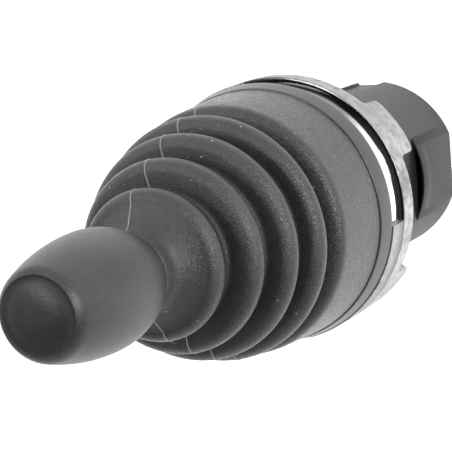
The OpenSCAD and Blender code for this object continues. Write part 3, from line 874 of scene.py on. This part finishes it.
def depth_amount(vertex):
    """1 at the floor of a groove, falling to 0 at the rims on both sides of it; by it the grooves get
    painted shade and a rougher skin.
    """
    radius, height = place_of(vertex)
    deepest = 0.0
    for i in range(1, FOLDS + 1):
        if groove_height(i) - 0.9 < height < fold_height(i) - 0.3:
            outer = fold_radius(i - 1) - 1.5
            deepest = max(deepest, (outer - radius) / (outer - valley_radius(i)))
    return min(1.0, deepest) ** 1.4


def make_bellows():
    """Two pieces that meet in a groove, one below it and one above."""
    rubber = moulded_rubber()
    boots = (
        ("boot_lower", lower_boot_outline(), ("head", "gimbal"), (BEND_START, SPLIT * MM)),
        ("boot_upper", upper_boot_outline(), ("gimbal", "stick"), (SPLIT * MM, BEND_END)),
    )
    for name, outline, (below, above), (start, end) in boots:
        boot = turned(name, outline, 180)
        raise_seam(boot)
        mark(boot, "seam", seam_highlight_amount)
        mark(boot, "rim", rim_wear_and_sheen_amount)
        mark(boot, "depth", depth_amount)
        smooth(boot, 60)
        dress(boot, rubber, replaces=["bellows"])
        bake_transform(boot)


# ---------------------------------------------------------------- front ring

RING_HIGH = heights("lug_ring")[1]
RING_RADIUS = outer_radius("lug_ring")
RING_BORE = 14.65
FLANGE_TOP = 6.9
LUG_LENGTH = 3.9
LUG_CORNER = 0.9
LUG_ROOT = 0.6
SLEEVE_BORE = 11.25
SLEEVE_TAPER = 0.3
SLEEVE_FOOT = 0.15
# Where the casting's stains and painted shade lie, and how far round they reach.
STAIN_AND_SHADE_SIDE = 95
STAIN_AND_SHADE_REACH = 75
# Where the sleeve's painted dark reflection lies, how far round it reaches, and how softly it ends.
DARK_REFLECTION_SIDE = 80
DARK_REFLECTION_REACH, DARK_REFLECTION_EDGE = 50, 20

# The middle and half the width of each lug, and of each raised land.
LUG_TURNS = ((35, 14), (125, 22), (215, 14), (305, 22))
LAND_TURNS = ((-41, 35), (139, 35))


def make_clamp_ring():
    low, high = heights("clamp_ring")
    radius = outer_radius("clamp_ring")
    bore = SKIRT_RADIUS - 0.75
    points = [
        (bore, low, 0.05),
        (radius - 0.02, low, 0.16),
        (radius, low + 0.3, 0.15),
        (SKIRT_RADIUS + 0.12, high, 0.2),
        (bore, high, 0.05),
    ]
    ring = turned("clamp_band", rounded(points), 240)
    smooth(ring, 50)
    dress(ring, band_plastic(), "head", ["clamp_ring"])


def make_sleeve():
    """A plated sleeve, a slight cone where it stands out of the casting."""
    low, high = heights("chrome_sleeve")
    radius = outer_radius("chrome_sleeve")
    points = [
        (SLEEVE_BORE, low, EDGE),
        (radius, low, 0.2),
        (radius, FLANGE_TOP - 0.1, 0),
        (radius + SLEEVE_FOOT, FLANGE_TOP + 0.02, 0),
        (radius - SLEEVE_TAPER, high, EDGE),
        (SLEEVE_BORE, high, 0.2),
    ]
    sleeve = turned("polished_sleeve", rounded(points), 300)
    smooth(sleeve, 50)

    # The painted dark reflection, strongest on the upper side and fading at its edges.
    def dark_reflection(vertex):
        return max(0.0, min(1.0, (DARK_REFLECTION_REACH - apart(angle_of(vertex), DARK_REFLECTION_SIDE)) / DARK_REFLECTION_EDGE))

    mark(sleeve, "dark_reflection", dark_reflection)
    dress(sleeve, polished_chrome(), "head", ["chrome_sleeve"])


def raise_faces(piece, height, turns, rise):
    """Extrudes the flat faces of a ring at a height, within turns given as (middle, half width)."""
    select_only(piece)
    bpy.ops.object.mode_set(mode="EDIT")
    bpy.ops.mesh.select_mode(type="FACE")
    bpy.ops.mesh.select_all(action="DESELECT")
    mesh = bmesh.from_edit_mesh(piece.data)
    for face in mesh.faces:
        middle = face.calc_center_median()
        angle = math.degrees(math.atan2(middle.y, middle.x))
        facing = face.normal.z * math.copysign(1, rise) > 0.99
        level = abs(middle.z / MM - height) < 0.02
        face.select_set(facing and level and any(apart(angle, m) < w for m, w in turns))
    bmesh.update_edit_mesh(piece.data)
    bpy.ops.mesh.extrude_region_move(TRANSFORM_OT_translate={"value": (0, 0, rise * MM)})
    bpy.ops.object.mode_set(mode="OBJECT")


def fillet(distance, radius):
    """How far a rounded corner stands back from the square one, at a distance from its side."""
    left = radius - min(max(distance, 0.0), radius)
    return radius - math.sqrt(radius**2 - left**2)


def round_lugs(ring):
    """Rounds the corners at the lugs' ends, and the roots between them."""
    for vertex in ring.data.vertices:
        height = vertex.co.z / MM
        turns = [apart(angle_of(vertex), m) - w for m, w in LUG_TURNS]
        nearest = min(turns) * math.radians(1) * RING_RADIUS
        if height < 0.02:
            vertex.co.z += fillet(-nearest, LUG_CORNER) * MM
        elif height < LUG_LENGTH + 0.02 and nearest > -0.01:
            vertex.co.z -= fillet(nearest, LUG_ROOT) * MM


def make_lug_ring():
    points = [
        (RING_BORE, LUG_LENGTH, 0),
        (RING_RADIUS - 0.05, LUG_LENGTH, 0),
        (RING_RADIUS, LUG_LENGTH + 0.25, 0.12),
        (RING_RADIUS, FLANGE_TOP - 0.15, 0.12),
        (RING_RADIUS - 0.06, FLANGE_TOP, 0),
        (RING_BORE, FLANGE_TOP, 0),
    ]
    ring = turned("lug_casting", rounded(points), 720)
    raise_faces(ring, LUG_LENGTH, LUG_TURNS, -LUG_LENGTH)
    raise_faces(ring, FLANGE_TOP, LAND_TURNS, RING_HIGH - FLANGE_TOP)
    round_lugs(ring)
    soften(ring, 0.05)
    smooth(ring, 35)

    # The turned flange face: smoother, and darkened by a painted dark reflection.
    def turned_and_shaded(vertex):
        return 1.0 if abs(vertex.co.z / MM - FLANGE_TOP) < 0.01 else 0.0

    # The upper side of the casting: stains and painted shade.
    def stain_and_shade(vertex):
        return fade(apart(angle_of(vertex), STAIN_AND_SHADE_SIDE), STAIN_AND_SHADE_REACH)

    mark(ring, "turned", turned_and_shaded)
    mark(ring, "stain_and_shade", stain_and_shade)
    dress(ring, cast_metal(), "head", ["lug_ring"])


# ---------------------------------------------------------------- barrel

BARREL_RADIUS = 11.0
BARREL_LENGTH = 24.7
NECK_RADIUS = 11.2
SNAP_GROOVE_DEPTH = 0.6
BORE_RADIUS = 7.9
GUIDE_SEAT = BORE_RADIUS + 0.4
HEAD_FLANGE_RADIUS = 12.9
BASE_SEAT = 8.7
FIT = 0.05
NOTCH_DEPTH = 1.3
NOTCH_REAR, NOTCH_FRONT = -12.1, -1.5
FLAT_DEPTH = 0.8
FLAT_TOP = -14.7
POCKET_INNER, POCKET_WALL = 6, 0.22
POCKET_FLOOR, POCKET_TOP = FLAT_TOP + 0.4, -11
POCKET_STEP = 0.12
KEY_WIDTH = 3.6
KEY_DEPTH = 0.5
KEY_FRONT = -0.1
OVERCUT = 5


def make_barrel():
    front = heights("clamp_ring")[0]
    top = heights("barrel_housing")[1]
    snap_low, snap_high = heights("snap_ring")
    snap_groove = NECK_RADIUS - SNAP_GROOVE_DEPTH
    guide_low = heights("guide_plate")[0]
    base_top = heights("base_plate")[1]
    points = [
        (BASE_SEAT, -BARREL_LENGTH, 0.15),
        (BARREL_RADIUS, -BARREL_LENGTH, 0.35),
        (BARREL_RADIUS, 0, 0),
        (NECK_RADIUS, 0, 0),
        (NECK_RADIUS, snap_low - FIT, 0),
        (snap_groove, snap_low - FIT, 0),
        (snap_groove, snap_high + 0.02, 0),
        (NECK_RADIUS, snap_high + 0.02, 0),
        (NECK_RADIUS, front, 0),
        (HEAD_FLANGE_RADIUS, front, EDGE),
        (HEAD_FLANGE_RADIUS, top, EDGE),
        (GUIDE_SEAT, top, EDGE),
        (GUIDE_SEAT, guide_low - FIT, 0),
        (BORE_RADIUS, guide_low - FIT, 0),
        (BORE_RADIUS, base_top + FIT, 0),
        (BASE_SEAT, base_top + FIT, 0),
    ]
    barrel = turned("barrel_shell", rounded(points), 192)
    far = 2 * BARREL_RADIUS
    rear = -BARREL_LENGTH - OVERCUT
    chord = BARREL_RADIUS - NOTCH_DEPTH
    cut(barrel, block((chord, -far, NOTCH_REAR), (far, far, NOTCH_FRONT)))
    cut(barrel, block((BARREL_RADIUS - FLAT_DEPTH, -far, rear), (far, far, FLAT_TOP)))
    pocket_outer = BARREL_RADIUS - POCKET_WALL
    pocket_outline = [
        (POCKET_INNER, POCKET_FLOOR),
        (pocket_outer, POCKET_FLOOR),
        (pocket_outer, POCKET_TOP),
        (POCKET_INNER, POCKET_TOP),
        (POCKET_INNER, POCKET_FLOOR),
    ]
    pocket = turned("pocket", pocket_outline, 128)
    cut(pocket, block((-far, -far, rear), (chord + POCKET_STEP, far, 0)))
    cut(barrel, pocket)
    key_floor = BARREL_RADIUS - KEY_DEPTH
    cut(barrel, block((-KEY_WIDTH / 2, key_floor, rear), (KEY_WIDTH / 2, far, KEY_FRONT)))
    soften(barrel, 0.09)
    smooth(barrel, 35)

    # Painted shade on the pocket's floor, behind the notch.
    def recess_shade(vertex):
        on_floor = abs(vertex.co.z / MM - POCKET_FLOOR) < 0.12
        return 1.0 if vertex.co.x / MM > chord + 0.05 and on_floor else 0.0

    mark(barrel, "recess_shade", recess_shade)
    dress(barrel, barrel_plastic(), "head", ["barrel_housing"])


# ---------------------------------------------------------------- inside


def dress_inside():
    """The small inner pieces keep their shape from the CAD and get a finish each."""
    steel = machined_metal("turned_steel", 0.62, 0.0, 0.28)
    black_steel = machined_metal("blackened_steel", 0.05, 0.0, 0.34)
    dark_steel = machined_metal("dark_steel", 0.3, 0.01, 0.32)
    brass = machined_metal("turned_brass", 0.55, 0.35, 0.26)
    acetal = plain_moulding("acetal", 0.62, 0.04, 0.35)
    inner = plain_moulding("inner_plastic", 0.06, 0.01, 0.5)
    gasket = plain_moulding("gasket_rubber", 0.025, 0.0, 0.65)
    finishes = (
        (brass, ("knob_insert", "gimbal_ring")),
        (steel, ("stick_shaft", "gimbal_pins", "pivot_hub", "cross_pin", "gate_plate")),
        (steel, ("gate_screws", "base_screws")),
        (black_steel, ("neck_ferrule",)),
        (dark_steel, ("snap_ring", "cam_clip")),
        (acetal, ("cam_plate", "guide_plate", *("plunger_" + side for side in SIDES))),
        (inner, ("pivot_housing", "base_plate")),
        (gasket, ("panel_gasket",)),
    )
    for material, names in finishes:
        for name in names:
            for slot in nodes[name].material_slots:
                slot.material = material


def make_springs():
    """Each plunger's spring, its foot on the base plate and its top at the plunger's collar, as a smoothed
    copy of the CAD coil in spring steel."""
    steel = machined_metal("spring_steel", 0.3, 0.01, 0.32)
    for side in SIDES:
        node = nodes["spring_" + side]
        spring = bpy.data.objects.new("coil_" + side, node.data.copy())
        bpy.context.collection.objects.link(spring)
        spring.matrix_world = node.matrix_world.copy()
        select_only(spring)
        bpy.ops.object.mode_set(mode="EDIT")
        bpy.ops.mesh.select_all(action="SELECT")
        bpy.ops.mesh.remove_doubles(threshold=MERGE_DISTANCE / 2)
        bpy.ops.object.mode_set(mode="OBJECT")
        smooth(spring, 50)
        dress(spring, steel, replaces=["spring_" + side])
        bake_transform(spring)


def make_floor():
    bpy.ops.object.select_all(action="DESELECT")
    bpy.ops.mesh.primitive_plane_add(size=FLOOR_SIZE, location=(0, 0, FLOOR_HEIGHT))
    bpy.ops.object.transform_apply(location=True, rotation=True, scale=True)
    floor = bpy.context.object
    floor.name = "floor"
    floor.data.materials.append(white_floor())


make_camera()
make_studio()
make_floor()
make_knob()
make_bellows()
make_clamp_ring()
make_sleeve()
make_lug_ring()
make_barrel()
dress_inside()
make_springs()
